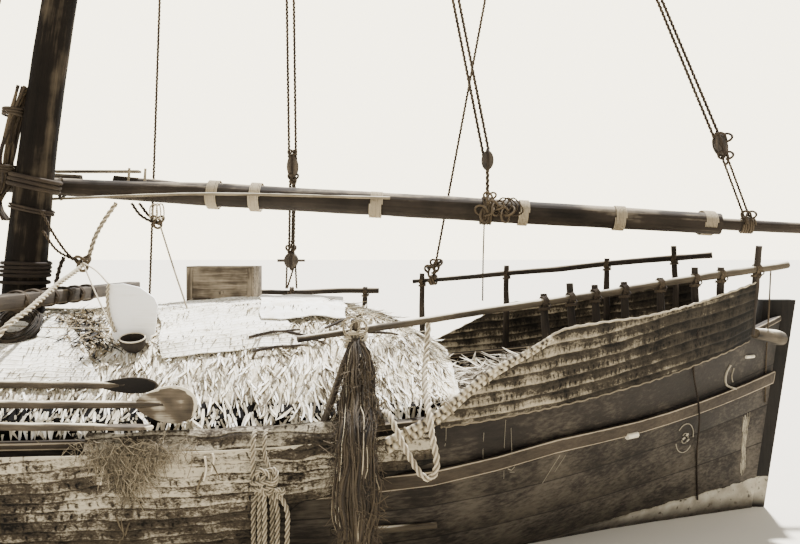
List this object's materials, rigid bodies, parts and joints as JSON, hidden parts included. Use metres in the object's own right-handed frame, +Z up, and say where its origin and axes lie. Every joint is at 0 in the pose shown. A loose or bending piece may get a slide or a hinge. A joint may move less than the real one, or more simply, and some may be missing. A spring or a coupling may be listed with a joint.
{
  "type": "sailing dhow",
  "caption": "Open wooden sailing dhow afloat, lateen yard lowered, palm-thatch hold cover, matting bulwarks, rope rigging, oars and a hung rudder.",
  "frame": {"origin": "on the waterline, at the middle of the hull's length on its centre plane", "axes": "+X to the bow, +Y to port, +Z up"},
  "size_m": [18.8461, 4.4916, 13.2293],
  "materials": {
    "hull_wood": "dark oiled hardwood planks, seams caulked",
    "weathered_wood": "bare weathered timber",
    "spar_wood": "round mangrove and teak poles, worn",
    "pale_wood": "split bamboo batten, bleached",
    "oar_wood": "dry bare wood",
    "coir_rope": "tarred coir rope",
    "pale_rope": "new coir rope",
    "palm_matting": "plaited palm leaf, weathered",
    "palm_thatch": "dry palm thatch and sun-bleached mats"
  },
  "bodies": {
    "hull": {"planking_starboard": "hull_wood", "planking_port": "hull_wood", "stem": "hull_wood", "keel": "hull_wood", "sternpost": "hull_wood", "transom": "hull_wood", "wale_starboard": "weathered_wood", "wale_port": "weathered_wood", "gunwale_starboard": "weathered_wood", "gunwale_port": "weathered_wood", "foredeck": "weathered_wood", "poop_deck": "weathered_wood", "cover_frame": "weathered_wood", "mast_beam": "weathered_wood", "halyard_post": "weathered_wood", "deck_box": "weathered_wood", "mast": "spar_wood", "rail_starboard": "spar_wood", "rail_port": "spar_wood", "side_pole_port": "spar_wood", "bundle_post": "spar_wood", "side_pole_starboard": "pale_wood", "bow_log": "pale_wood", "white_board": "pale_wood", "shroud_tackle": "coir_rope", "shroud_single": "coir_rope", "peak_fall": "coir_rope", "halyard_purchase": "coir_rope", "coir_bundle": "coir_rope", "bow_mat_starboard": "palm_matting", "bow_mat_port": "palm_matting", "side_mat_starboard": "palm_matting", "side_mat_port": "palm_matting", "rolled_mat": "palm_matting", "oar_1": "oar_wood", "oar_2": "oar_wood", "oar_3": "oar_wood", "thatch_cover": "palm_thatch", "rope_hank": "pale_rope", "rope_lead": "pale_rope", "rope_bight": "pale_rope"},
    "yard": {"yard_main": "spar_wood", "yard_aft": "spar_wood", "yard_upper": "spar_wood", "yard_fish": "spar_wood", "yard_fore": "spar_wood", "yard_batten": "pale_wood", "parrel": "coir_rope", "masthead_ring": "coir_rope", "fore_tackle": "coir_rope", "peak_tackle": "coir_rope"},
    "rudder": {"rudder": "hull_wood", "tiller": "weathered_wood"}
  },
  "joints": [
    {"name": "yard_swing", "type": "hinge", "parent": "hull", "child": "yard", "pos_m": [0.96987, 0, 2.82], "axis": [0.2446, 0, 0.9696], "range_deg": [-35, 12]},
    {"name": "rudder_hinge", "type": "hinge", "parent": "hull", "child": "rudder", "pos_m": [-7.57488, 0, 0], "axis": [-0.2747, 0, 0.9615], "range_deg": [-35, 35]}
  ]
}
